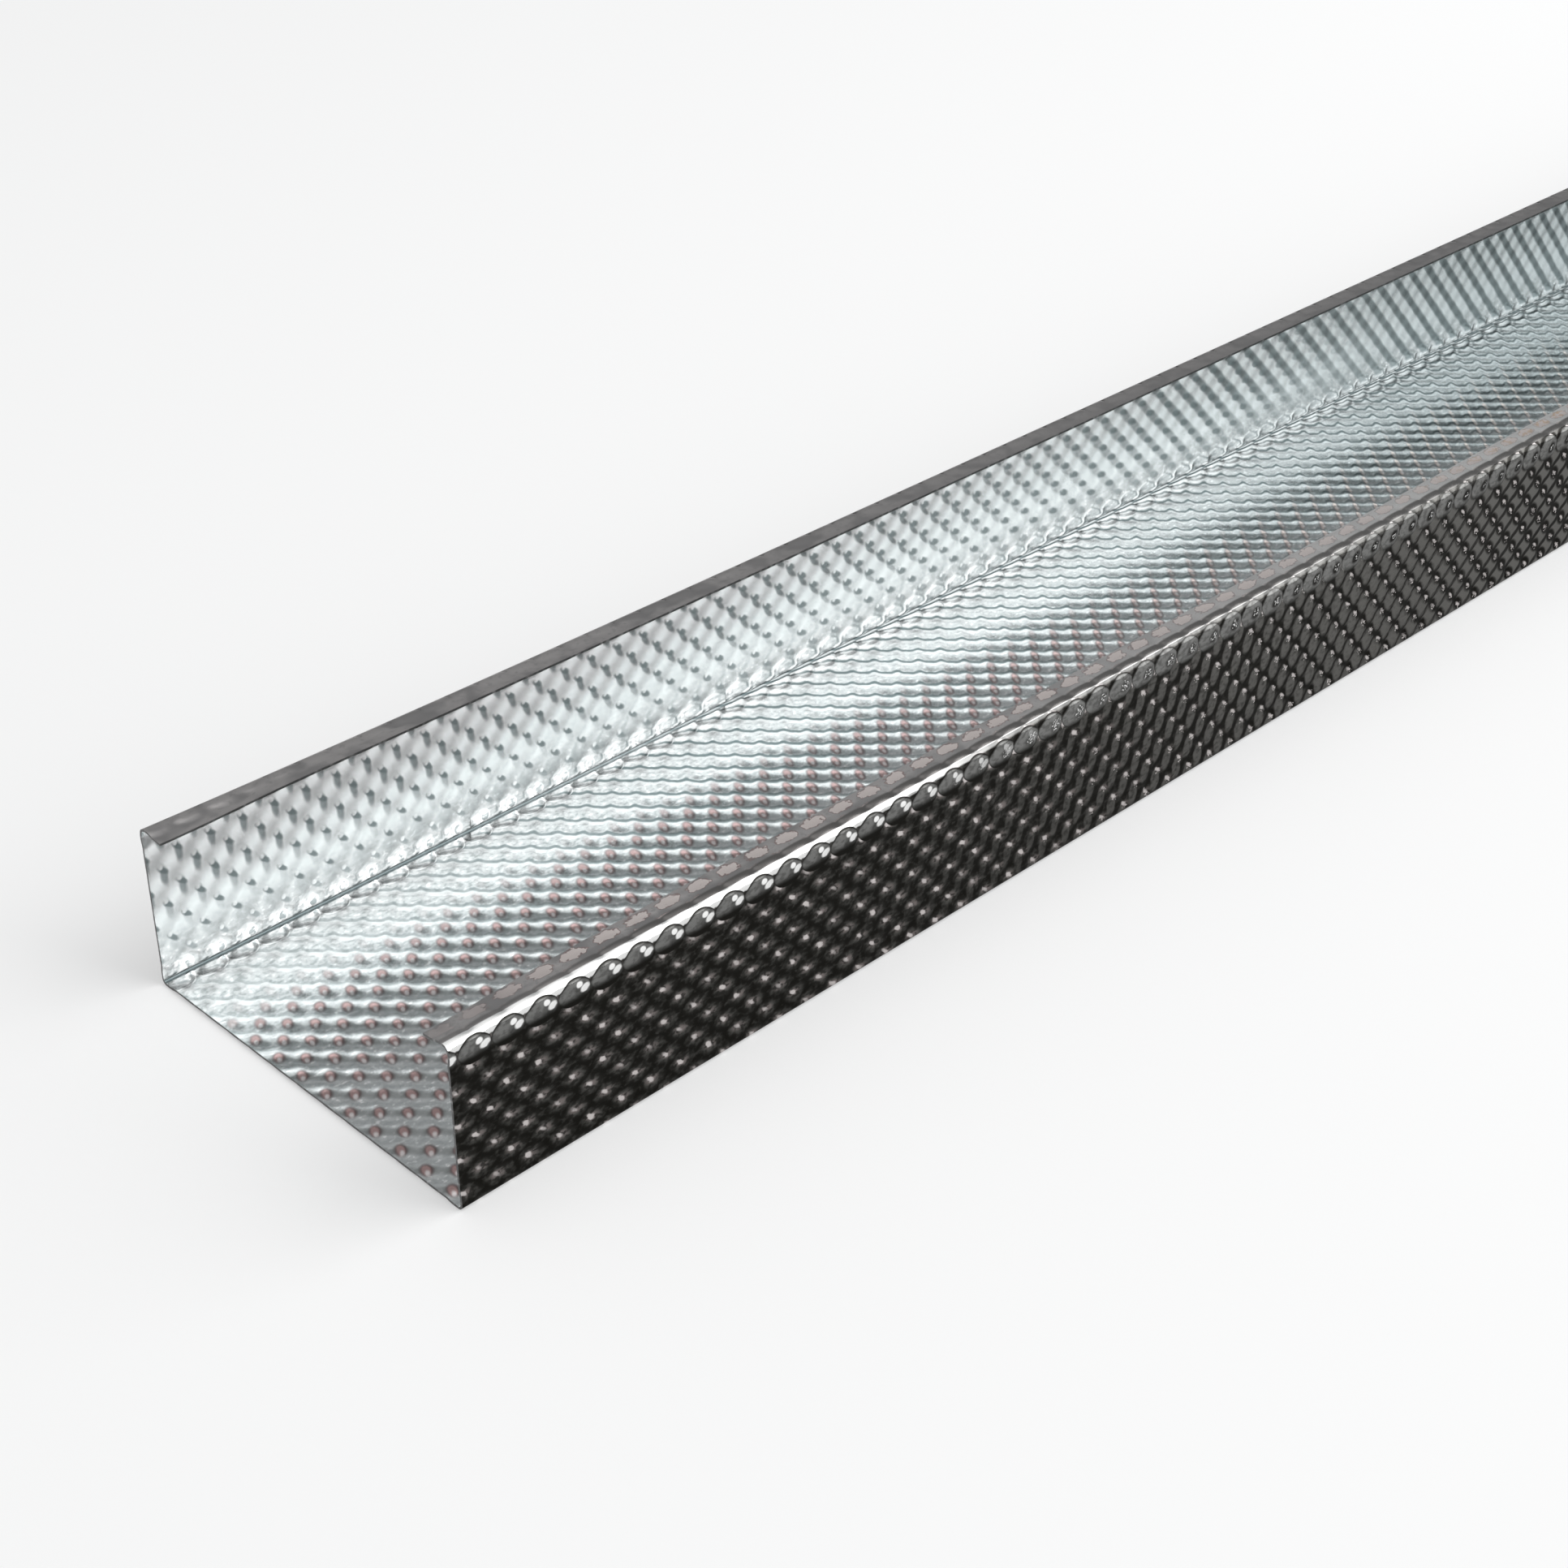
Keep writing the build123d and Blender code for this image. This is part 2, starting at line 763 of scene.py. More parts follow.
@dataclass
class Paint(Graph):
    """A face's colour under way, laid coat by coat where the strip's place and grain say."""

    effects: Effects
    tone: Colour | Socket
    place: bpy.types.bpy_prop_collection = field(init=False)
    grain: bpy.types.bpy_prop_collection = field(init=False)

    def __post_init__(self) -> None:
        """Adds the groups for the strip's place and grain."""
        self.place = self.call(self.effects.place).outputs
        self.grain = self.call(self.effects.grain).outputs

    def lay(self, colour: Colour | Socket, *shares: Level, how: str = "MIX") -> None:
        """Lays a coat over what is there.

        Args:
            colour: The coat's colour.
            shares: Masks and levels whose product says how much of it shows.
            how: The blend mode.
        """
        self.tone = self.blend(self.tone, colour, self.product(*shares), how)

    def by_along(self, low: float, high: float, start: float = 0.0, end: float = 1.0) -> Socket:
        """Goes from one level to another between two distances from the cut end."""
        return self.ramp(self.place["Along"], low, high, start, end)

    def by_across(self, low: float, high: float, start: float = 0.0, end: float = 1.0) -> Socket:
        """Goes from one level to another between two developed lengths across the strip."""
        return self.ramp(self.place["Across"], low, high, start, end)

    def by_grain(self, title: str, low: float, high: float, start: float = 0.0, end: float = 1.0) -> Socket:
        """Goes from one level to another between two levels of a grain."""
        return self.ramp(self.grain[title], low, high, start, end)

    def within(self, stretch: Stretch) -> Socket:
        """Masks a stretch across the strip.

        Args:
            stretch: The stretch.

        Returns:
            The mask.
        """
        rise = self.by_across(stretch.low - stretch.soft, stretch.low + stretch.soft)
        return self.product(rise, self.by_across(stretch.high + stretch.soft, stretch.high - stretch.soft))

    def pitches(self, size: Level) -> Level:
        """Turns a size in metres into dimple pitches.

        Args:
            size: The size.

        Returns:
            The same in pitches.
        """
        pitch = self.effects.relief.pitch
        return size / pitch if isinstance(size, float) else self.math("DIVIDE", size, pitch)

    def mark(self, right: Level, up: Level, width: Level, height: Level, lean: Level = 0.0,
             softness: float = 0.5) -> Socket:
        """Masks an oval in every dimple.

        Args:
            right: How far the oval lies along the stud from the dimple's crown, in metres.
            up: How far it lies across the strip.
            width: Its half width along the stud.
            height: Its half height across the strip.
            lean: How far it leans along the stud as it goes across the strip.
            softness: Width of its soft edge, as a share of its size.

        Returns:
            The mask.
        """
        sizes = {"right": right, "up": up, "width": width, "height": height}
        sizes = {name: self.pitches(size) for name, size in sizes.items()}
        spot = self.call(self.effects.spot, rows=self.place["Rows"], cross=self.place["Cross"], lean=lean,
                         softness=softness, **sizes)
        return spot.outputs["Mask"]

    def dome(self, middle: float, width: Level, height: Level, softness: float, shift: float = 0.0,
             right: float = 0.0) -> Socket:
        """Masks an oval on every dome of one row.

        Args:
            middle: The oval's developed length, in metres.
            width: Its half width along the stud.
            height: Its half height across the strip.
            softness: Width of its soft edge, as a share of its size.
            shift: Where the row's domes lie, in pitches from the dimples' first crown.
            right: How far the oval lies along the stud from there, in metres.

        Returns:
            The mask.
        """
        cap = self.call(self.effects.cap, rows=self.place["Rows"], cross=self.place["Cross"],
                        across=self.place["Across"], right=shift + self.pitches(right), middle=middle,
                        width=self.pitches(width), height=height, softness=softness)
        return cap.outputs["Mask"]


@dataclass(frozen=True)
class ZincFace:
    """What every face of the sheet shares: a metal shader with a finely streaked surface."""

    effects: Effects
    name: str = "zinc"
    ground: Colour = (0.6, 0.6, 0.6)
    roughness: float = 0.22
    edge_tint: float = 1.0
    grain_depth: float = 0.00001

    def make(self) -> bpy.types.Material:
        """Builds the material.

        Returns:
            The material with its nodes.
        """
        material = bpy.data.materials.new(self.name)
        material.use_nodes = True
        shader = material.node_tree.nodes["Principled BSDF"]
        tint = (self.edge_tint, self.edge_tint, self.edge_tint, 1.0)
        for name, value in (("Metallic", 1.0), ("Roughness", self.roughness), ("Specular Tint", tint)):
            shader.inputs[name].default_value = value
        paint = Paint(material.node_tree, self.effects, self.ground)
        bump = paint.node("ShaderNodeBump")
        bump.inputs["Distance"].default_value = self.grain_depth
        paint.put(bump.inputs["Height"], paint.grain["Streak"])
        paint.put(shader.inputs["Normal"], bump.outputs[0])
        self.coat(paint)
        paint.put(shader.inputs["Base Color"], paint.tone)
        return material

    def coat(self, paint: Paint) -> None:
        """Lays the face's coats over its ground colour; each kind of face has its own."""
        raise NotImplementedError


@dataclass(frozen=True)
class InnerFace(ZincFace):
    """The channel's bright inside, with painted pink reflections on the web's dimples and painted dark
    reflections beside the short flange's.

    Each zone says where a look begins and ends, across the strip or along the stud from the cut end.
    """

    name: str = "bright zinc"
    ground: Colour = (0.59, 0.611, 0.614)
    # Painted light: the web lighter towards the short flange.
    bright: Colour = (0.63, 0.64, 0.64)
    # Painted light: the flanges' insides nearly white.
    pale: Colour = (0.99, 1.0, 1.0)
    # White: random specks, and the painted glints and highlights.
    speck_and_glint: Colour = (1.0, 1.0, 1.0)
    # Pink and peach: painted reflections on the crowns of the web's dimples.
    pink: Colour = (0.50, 0.34, 0.33)
    peach: Colour = (0.92, 0.78, 0.72)
    # Painted shade for the rims round painted reflections.
    reflection_rim: Colour = (0.13, 0.07, 0.07)
    # Painted shade, multiplied over the web's middle and farther along.
    web_middle_shade: Colour = (0.59, 0.615, 0.618)
    far_shade: Colour = (0.70, 0.73, 0.735)
    dim: Colour = (0.30, 0.33, 0.33)
    # Painted shade between the web's dimples.
    saddle_shade: Colour = (0.21, 0.22, 0.215)
    # Painted dark reflections, painted shade for lines, arcs and pits, and painted crease shade by the fold.
    dark_reflection: Colour = (0.18, 0.215, 0.22)
    shade: Colour = (0.12, 0.165, 0.17)
    crease_shade: Colour = (0.06, 0.085, 0.09)
    web: Stretch = Stretch(-0.0445, 0.0435, 0.0008)
    mottled: Stretch = Stretch(0.016, 0.046, 0.008)
    wedges: Stretch = Stretch(0.0395, 0.0442, 0.0030)
    arcs: Stretch = Stretch(0.0400, 0.0450, 0.0001)
    strands: Stretch = Stretch(0.0437, 0.0462, 0.0004)
    fold: Stretch = Stretch(0.0447, 0.0460, 0.0002)
    flange: Stretch = Stretch(0.0475, 0.0790, 0.0006)
    bright_zone: Zone = (0.005, 0.045)
    pale_short_zone: Zone = (0.050, 0.058)
    pale_tall_zone: Zone = (-0.044, -0.048)
    middle_shade_rise: Zone = (-0.010, 0.022)
    middle_shade_fall: Zone = (0.050, 0.035)
    far_shade_zone: Zone = (0.20, 0.52)
    mottle_fall: Zone = (0.22, 0.08)
    saddle_shade_fall: Zone = (0.15, 0.06)
    line_zone: Zone = (0.01, 0.13)
    line_rise: Zone = (-0.004, 0.018)
    strand_zone: Zone = (0.09, 0.16)
    brick_zone: Zone = (0.22, 0.42)
    brick_fall: Zone = (0.036, 0.020)
    gleam_zone: Zone = (0.004, 0.034)
    crown_glint_zone: Zone = (0.006, -0.010)
    peach_zone: Zone = (0.18, 0.38)
    drop_zone: Zone = (0.03, 0.16)
    drop_fall: Zone = (0.32, 0.20)
    dot_zone: Zone = (0.05, 0.25)
    dot_fall: Zone = (0.42, 0.32)
    spark_fall: Zone = (0.30, 0.20)
    arc_fall: Zone = (0.20, 0.10)
    scale_fall: Zone = (0.16, 0.07)
    kink_lag: float = 0.9 / TURN
    brick_lag: float = 0.3
    gleam_lead: float = 0.22

    def coat(self, paint: Paint) -> None:
        """Lays the ground tones with painted light on the web near the short flange and on the flanges, the
        painted reflections and shade of web, flange and fold, and painted shade in the web's middle and
        farther along.

        Args:
            paint: The colour under way.
        """
        # Painted light: the web lighter towards the short flange, and both flanges' insides nearly white.
        paint.lay(self.bright, paint.by_across(*self.bright_zone))
        paint.lay(self.pale, paint.by_across(*self.pale_short_zone))
        paint.lay(self.pale, paint.by_across(*self.pale_tall_zone))
        mottled = paint.product(paint.within(self.mottled), paint.by_along(*self.mottle_fall, 0.0, 0.4))
        plain = paint.by_across(0.048, 0.060, 0.22, 0.05)
        paint.lay(self.dim, paint.by_grain("Speckle", 0.52, 0.28), paint.total(mottled, plain))
        # White specks at random over the inner face.
        paint.lay(self.speck_and_glint, paint.by_grain("Speckle", 0.58, 0.78, 0.0, 0.7))
        self.shade_web_saddles(paint)
        self.line_web(paint)
        self.glint_web_crowns(paint)
        self.shade_flange(paint)
        self.scale_fold(paint)
        # Painted shade: the web's middle multiplied darker.
        middle = paint.product(paint.by_across(*self.middle_shade_rise), paint.by_across(*self.middle_shade_fall))
        paint.lay(self.web_middle_shade, middle, how="MULTIPLY")
        # Painted shade: the inner face darker farther along.
        paint.lay(self.far_shade, paint.by_along(*self.far_shade_zone), how="MULTIPLY")

    def shade_web_saddles(self, paint: Paint) -> None:
        """Lays painted shade as grey patches between the web's dimples near the cut end.

        Args:
            paint: The colour under way.
        """
        row = paint.ramp(paint.cosine(paint.place["Rows"]), -0.2, 1.0, 0.0, 0.75)
        cross = paint.ramp(paint.cosine(paint.place["Cross"]), -1.0, 0.2, 0.6, 1.0)
        near = paint.product(paint.by_along(*self.saddle_shade_fall), paint.by_across(0.026, 0.006))
        # Painted shade in the crown rows between the dimples.
        paint.lay(self.saddle_shade, paint.within(self.web), row, cross, near)

    def line_web(self, paint: Paint) -> None:
        """Paints wavy dark reflection lines between the web's dimples, with a painted highlight beside each,
        painted white wedges and crease shade by the fold, and painted dark reflection patches farther along.

        Args:
            paint: The colour under way.
        """
        web, cross = paint.within(self.web), paint.place["Cross"]
        kink = paint.sine(paint.total(paint.product(cross, 2.0), self.kink_lag))
        rough = paint.total(paint.product(paint.grain["Speckle"], 0.9), -0.45)
        swing = paint.total(paint.sine(cross), paint.product(kink, 0.4), rough)
        zigzag = paint.product(swing, paint.by_along(0.12, 0.50, 0.06, 0.17))
        hook = paint.by_across(0.0432, 0.0464, 0.0, 1.1)
        drift = paint.by_along(0.32, 0.48, -0.5, -0.92)
        way = paint.total(paint.place["Rows"], zigzag, hook, drift)
        crest = paint.cosine(way)
        line = paint.product(paint.ramp(crest, 0.50, 0.96), paint.by_across(*self.line_rise, 0.35, 0.95))
        # Painted dark reflection lines.
        paint.lay(self.shade, web, line, paint.by_along(*self.line_zone, 0.35, 1.0))
        late = paint.by_along(*self.strand_zone)
        # Painted white highlight wedges between the lines near the fold.
        paint.lay(self.speck_and_glint, paint.within(self.wedges), paint.ramp(crest, 0.5, 0.0), late, 0.95)
        # Painted crease shade in strands by the fold.
        paint.lay(self.crease_shade, paint.within(self.strands), paint.ramp(crest, 0.0, 0.7), late, 0.85)
        # Painted dark reflection patches between the lines farther along.
        brick = paint.ramp(paint.cosine(paint.total(cross, -self.brick_lag)), -0.2, 0.8)
        brick = paint.product(brick, paint.by_across(*self.brick_fall))
        paint.lay(self.dark_reflection, brick, web, paint.by_along(*self.brick_zone, 0.0, 0.4))
        gleam = paint.ramp(paint.cosine(paint.total(way, self.gleam_lead)), 0.3, 1.0)
        # Painted highlight beside each line.
        paint.lay(self.speck_and_glint, gleam, web, paint.by_across(*self.gleam_zone, 0.0, 0.6))

    def glint_web_crowns(self, paint: Paint) -> None:
        """Paints a pink reflection on the crowns of the web's dimples, with a painted dark shade rim and a
        painted white glint.

        Args:
            paint: The colour under way.
        """
        web = paint.within(self.web)
        limit = paint.total(paint.by_along(0.0, 0.30, 0.026, 0.016), paint.by_along(0.30, 0.42, 0.0, 0.009))
        fade = paint.ramp(paint.math("SUBTRACT", paint.place["Across"], limit), *self.crown_glint_zone)
        lean = paint.by_along(0.05, 0.35, 0.28, 0.8)
        tall = paint.by_along(0.03, 0.11, 0.0, 0.0004)
        rim = paint.mark(right=0.0001, up=0.0, width=0.0012, height=paint.total(tall, 0.0016), lean=lean,
                         softness=0.7)
        depth = paint.product(paint.ramp(fade, 0.0, 1.0, 0.10, 0.75), paint.by_along(0.18, 0.42, 1.1, 0.3))
        # Painted shade: a dark rim round each crown.
        paint.lay(self.reflection_rim, web, rim, depth)
        core = paint.mark(right=0.0, up=0.0, width=paint.by_along(0.05, 0.35, 0.0008, 0.0006),
                          height=paint.total(tall, 0.0012), lean=lean, softness=0.7)
        # Painted reflection on each crown: pink, then peach farther along.
        crown_glint = paint.blend(self.pink, self.peach, paint.by_along(*self.peach_zone))
        paint.lay(crown_glint, web, core, fade, 0.9)
        # Painted white glint on each crown.
        spark = paint.mark(right=-0.0003, up=-0.0008, width=0.00045, height=0.0006, lean=0.3, softness=1.2)
        paint.lay(self.speck_and_glint, web, spark, paint.ramp(fade, 0.0, 1.0, 0.2, 0.6))

    def shade_flange(self, paint: Paint) -> None:
        """Paints dark reflections on the short flange beside its dimples, in drops near the cut end and in
        stripes beyond, with a painted white glint by each.

        Args:
            paint: The colour under way.
        """
        flange = paint.within(self.flange)
        # Painted dark reflection drops, high on the flange.
        drop = paint.mark(
            right=paint.by_along(*self.drop_zone, 0.0016, 0.0024),
            up=paint.by_along(*self.drop_zone, -0.0009, -0.0014),
            width=0.00082,
            height=paint.by_along(0.05, 0.14, 0.0021, 0.0014),
            lean=paint.by_along(0.03, 0.20, -0.12, -0.8),
            softness=0.9,
        )
        high = paint.by_across(0.054, 0.0655, 0.12, 0.80)
        paint.lay(self.dark_reflection, drop, flange, high, paint.by_along(*self.drop_fall))
        # Painted dark reflection dots, low on the flange.
        dot = paint.mark(
            right=paint.by_along(*self.dot_zone, 0.0015, 0.0025),
            up=0.0001,
            width=paint.by_along(*self.dot_zone, 0.0008, 0.0015),
            height=0.0010,
            lean=-0.8,
            softness=0.8,
        )
        low = paint.by_across(0.048, 0.056, 0.5, 0.9)
        paint.lay(self.dark_reflection, dot, flange, low, paint.by_along(*self.dot_fall))
        # Painted dark reflection stripes farther along.
        drift = paint.total(paint.by_along(0.05, 0.26, 0.11, 0.28), paint.by_along(0.26, 0.46, 0.0, 0.58))
        stripe = paint.cosine(paint.math("SUBTRACT", paint.place["Rows"], drift))
        reach = paint.product(paint.by_along(0.22, 0.34, 0.0, 0.85), paint.by_across(0.048, 0.068, 0.4, 1.0))
        reach = paint.math("MAXIMUM", reach, paint.by_along(0.32, 0.42, 0.0, 0.9))
        paint.lay(self.dark_reflection, paint.ramp(stripe, -0.3, 0.8), flange, reach)
        # Painted white glints.
        spark = paint.mark(right=paint.by_along(*self.drop_zone, 0.0010, 0.0017), up=0.0009, width=0.0005,
                           height=0.0005, softness=0.9)
        paint.lay(self.speck_and_glint, spark, flange, paint.by_along(*self.spark_fall, 0.0, 0.8))

    def scale_fold(self, paint: Paint) -> None:
        """Paints the fold's twisted dark line as painted crease shade, and painted white highlight arcs
        beside it at the cut end that turn to painted shade farther along, with painted glints and shade on
        the flange's first domes.

        Args:
            paint: The colour under way.
        """
        # Painted highlight arcs, shaded farther along.
        outer = paint.dome(middle=0.0433, width=0.0038, height=0.0027, softness=0.06)
        inner = paint.dome(middle=0.0430, width=0.0035, height=0.0022, softness=0.12)
        arc = paint.product(outer, paint.rest(inner), paint.within(self.arcs))
        paint.lay(self.speck_and_glint, arc, paint.by_along(*self.arc_fall))
        paint.lay(self.shade, arc, paint.by_along(0.12, 0.20, 0.0, 0.45))
        # Painted glint and shade on the flange's first row of domes.
        early = paint.by_along(*self.scale_fall)
        drop = paint.dome(middle=0.0474, width=0.0014, height=0.0016, softness=0.3, shift=0.55)
        paint.lay(self.speck_and_glint, drop, early, 0.8)
        pit = paint.dome(middle=0.0473, width=0.0009, height=0.0012, softness=0.4, shift=0.57)
        paint.lay(self.shade, pit, early, paint.by_grain("Speckle", 0.6, 0.4, 0.2, 0.7))
        # Painted crease shade along the fold.
        paint.lay(self.crease_shade, paint.within(self.fold), paint.by_along(0.05, 0.20, 0.9, 0.6))


@dataclass(frozen=True)
class OuterFace(ZincFace):
    """The outside: flanges painted nearly black as a dark reflection, with painted glints in their dents,
    grey lips and a painted highlight along the bright edge.

    Its zones are as on the inner face, and each dome spark has its place from the dome's middle,
    along and across, and its half width.
    """

    name: str = "zinc painted dark"
    # Near black: painted dark reflection over the flanges.
    ground: Colour = (0.011, 0.0105, 0.009)
    # Grey for random specks and for painted reflection halos.
    grey: Colour = (0.10, 0.098, 0.092)
    # Painted reflections: leaves, glint halos and glints.
    leaf: Colour = (0.135, 0.132, 0.125)
    glint_halo: Colour = (0.19, 0.165, 0.16)
    glint: Colour = (0.60, 0.56, 0.55)
    # Painted grey reflections on the domes.
    dome_grey: Colour = (0.18, 0.18, 0.175)
    dome_light: Colour = (0.20, 0.20, 0.195)
    # Painted highlights: white near the cut end, cream-grey farther along.
    bright: Colour = (0.95, 0.95, 0.94)
    cream: Colour = (0.13, 0.127, 0.118)
    lip: Colour = (0.52, 0.50, 0.495)
    # Darker grey of the lips, in random patches and, on the short lip, more of it farther along.
    lip_dark: Colour = (0.36, 0.35, 0.35)
    # Painted shade strip along the bend, beside the edge highlight.
    bend_shade: Colour = (0.16, 0.153, 0.148)
    # Painted reflection spots on the tall lip: shaded rims, pale cores, orange rims farther along.
    reflection_rim: Colour = (0.34, 0.22, 0.21)
    pale: Colour = (0.95, 0.86, 0.83)
    orange: Colour = (0.80, 0.58, 0.38)
    edge_tint: float = 0.58
    vein_shift: float = 0.133
    dome_row: float = -0.0775
    dome_shift: float = 0.5
    dome_foot: Zone = (-0.0750, -0.0770)
    dome_sparks: tuple[tuple[float, float, float], ...] = (
        (0.0022, -0.0001, 0.0011),
        (0.0009, -0.0013, 0.0007),
    )
    cusp_tips: Zone = (-0.0787, -0.0791)
    tall_lip_start: Zone = (-0.0813, -0.0816)
    short_lip_start: Zone = (0.0787, 0.0792)
    bend_strip: Stretch = Stretch(-0.0825, -0.0806, 0.0003)
    lip_spots: Stretch = Stretch(-0.0868, -0.0826, 0.0004)
    grey_speck_zone: Zone = (0.12, 0.25)
    glint_fall: Zone = (0.24, 0.12)
    leaf_rise: Zone = (0.08, 0.22)
    leaf_fall: Zone = (0.34, 0.26)
    net_zone: Zone = (0.20, 0.32)
    flake_zone: Zone = (0.12, 0.20)
    dome_rise: Zone = (0.09, 0.15)
    dome_fall: Zone = (0.36, 0.24)
    dome_spark_fall: Zone = (0.16, 0.11)
    dome_flake_zone: Zone = (0.11, 0.16)
    edge_fall: Zone = (0.17, 0.34)
    plain_lip_zone: Zone = (0.08, 0.30)
    bright_lip_zone: Zone = (0.06, 0.34)
    orange_zone: Zone = (0.26, 0.40)

    def coat(self, paint: Paint) -> None:
        """Lays the flanges' random grey specks, painted leaf reflections and painted glints, then the domes,
        the painted bright edge highlight and the lips.

        Args:
            paint: The colour under way.
        """
        # Grey specks at random over the painted dark reflection, fewer farther along.
        grey_specks = paint.by_grain("Speckle", 0.50, 0.85)
        paint.lay(self.grey, grey_specks, paint.by_along(*self.grey_speck_zone, 0.35, 0.1))
        self.leaves(paint)
        self.glints(paint)
        outline = self.domes(paint)
        self.edge(paint, outline)
        self.lips(paint)

    def dents(self, paint: Paint) -> tuple[Socket, Socket]:
        """Finds the middle of the dent in each dimple, which drifts with the distance.

        Args:
            paint: The colour under way.

        Returns:
            How far it lies along the stud and across the strip from the crown.
        """
        near, far = paint.by_along(-0.05, 0.14, 0.0030, 0.00035), paint.by_along(0.22, 0.32, 0.0, 0.0008)
        return paint.total(near, far), paint.by_along(-0.05, 0.20, 0.0038, 0.0011)

    def leaves(self, paint: Paint) -> None:
        """Lays a painted grey reflection halo in each dent, and painted grey leaf reflections between the
        dents that leave dark veins far along.

        Args:
            paint: The colour under way.
        """
        right, up = self.dents(paint)
        # Painted reflection halo round each dent.
        halo = paint.mark(right=paint.total(right, 0.0006), up=paint.total(up, 0.0002), width=0.0022,
                          height=0.0014, lean=0.3, softness=1.4)
        halo = paint.product(halo, paint.by_grain("Speckle", 0.35, 0.62, 0.2, 0.8))
        paint.lay(self.grey, halo, paint.by_along(*self.glint_fall))
        # Painted grey leaf reflections.
        leaf = paint.mark(
            right=-0.0005,
            up=0.0032,
            width=paint.by_along(0.08, 0.28, 0.0009, 0.0017),
            height=paint.by_along(0.08, 0.20, 0.0022, 0.0027),
            lean=paint.by_along(*self.net_zone, -0.1, 0.3),
            softness=0.45,
        )
        stay = paint.product(paint.by_along(*self.leaf_rise), paint.by_along(*self.leaf_fall))
        paint.lay(self.leaf, leaf, paint.by_grain("Speckle", 0.2, 0.6, 0.3, 0.8), stay)
        # Painted grey reflection net far along, leaving dark veins and dents.
        sway = paint.product(paint.sine(paint.place["Cross"]), 0.05)
        vein = paint.cosine(paint.total(paint.place["Rows"], self.vein_shift, sway))
        rung = paint.cosine(paint.place["Cross"])
        vein = paint.math("MAXIMUM", paint.ramp(vein, 0.35, 0.90), paint.ramp(rung, 0.30, 0.90))
        dent = paint.mark(right=right, up=up, width=0.0018, height=0.0020, lean=0.3)
        free = paint.rest(paint.math("MAXIMUM", vein, dent))
        paint.lay(self.leaf, free, paint.by_along(*self.net_zone))

    def glints(self, paint: Paint) -> None:
        """Lays small uneven painted glints, with painted halos, in the dents of the flanges.

        Args:
            paint: The colour under way.
        """
        right, up = self.dents(paint)
        early = paint.by_along(*self.glint_fall)
        # Painted halo round each glint.
        glint_halo = paint.mark(right=paint.total(right, 0.0004), up=paint.total(up, 0.0001), width=0.0014,
                          height=0.0008, lean=0.5, softness=1.3)
        paint.lay(self.glint_halo, glint_halo, paint.by_grain("Speckle", 0.36, 0.60, 0.1, 1.0), early)
        # Painted glints, broken up by grain.
        spot = paint.mark(right=right, up=up, width=0.0009, height=0.0007, lean=0.5, softness=1.6)
        speckle, cloud = paint.product(paint.grain["Speckle"], 1.2), paint.product(paint.grain["Cloud"], 0.8)
        broken = paint.ramp(paint.total(spot, speckle, cloud), 1.62, 2.05)
        paint.lay(self.glint, broken, early, paint.by_grain("Cloud", 0.40, 0.58, 0.3, 1.0))
        small = paint.mark(right=right, up=up, width=0.00045, height=0.0006, lean=0.8, softness=1.1)
        paint.lay(self.glint, small, paint.by_grain("Cloud", 0.35, 0.62, 0.4, 0.9))
        patch = paint.mark(right=paint.total(right, 0.0001), up=paint.total(up, 0.0004), width=0.0010,
                           height=0.0011, lean=0.3, softness=1.0)
        flakes = self.flakes(paint, patch, 1.46, 1.62)
        paint.lay(self.glint, flakes, paint.by_along(*self.flake_zone, 0.0, 0.9))

    def flakes(self, paint: Paint, patch: Socket, low: float, high: float) -> Socket:
        """Breaks a soft patch up into fine flakes, used for painted glints.

        Args:
            paint: The colour under way.
            patch: The patch's mask.
            low: The level of patch and grain at which a flake begins.
            high: The level at which it is full.

        Returns:
            The flakes' mask.
        """
        rough = paint.total(paint.product(patch, 0.6), paint.product(paint.grain["Flake"], 1.6))
        return paint.ramp(rough, low, high)

    def domes(self, paint: Paint) -> Socket:
        """Paints the domes under the tall flange's edge as grey reflections with dark outlines and eyes,
        with their painted glints.

        Args:
            paint: The colour under way.

        Returns:
            The mask of the domes with their outlines.
        """
        row, shift = self.dome_row, self.dome_shift
        tall = paint.by_along(0.10, 0.20, 0.0028, 0.0031)
        # Painted dark outline round each dome.
        outline = paint.dome(middle=row, width=0.0037, height=tall, softness=0.06, shift=shift)
        paint.lay(self.ground, outline)
        tall = paint.by_along(0.10, 0.24, 0.0025, 0.0031)
        # Painted grey reflection on each dome's body.
        body = paint.dome(middle=row + 0.0001, width=0.0035, height=tall, softness=0.20, shift=shift)
        body = paint.product(body, paint.by_grain("Speckle", 0.3, 0.6, 0.6, 1.0))
        foot = paint.total(paint.place["Across"], paint.by_along(0.10, 0.18, 0.0006, -0.0008))
        stay = paint.product(paint.by_along(*self.dome_rise), paint.by_along(*self.dome_fall))
        shell = paint.blend(self.dome_grey, self.dome_light, stay)
        paint.lay(shell, body, paint.ramp(foot, *self.dome_foot))
        # Painted dark eye in each dome.
        eye = paint.dome(middle=row + 0.0002, width=0.0015, height=0.0015, softness=0.6, shift=shift,
                         right=0.0012)
        paint.lay(self.ground, eye, paint.by_along(0.13, 0.26, 0.4, 1.0))
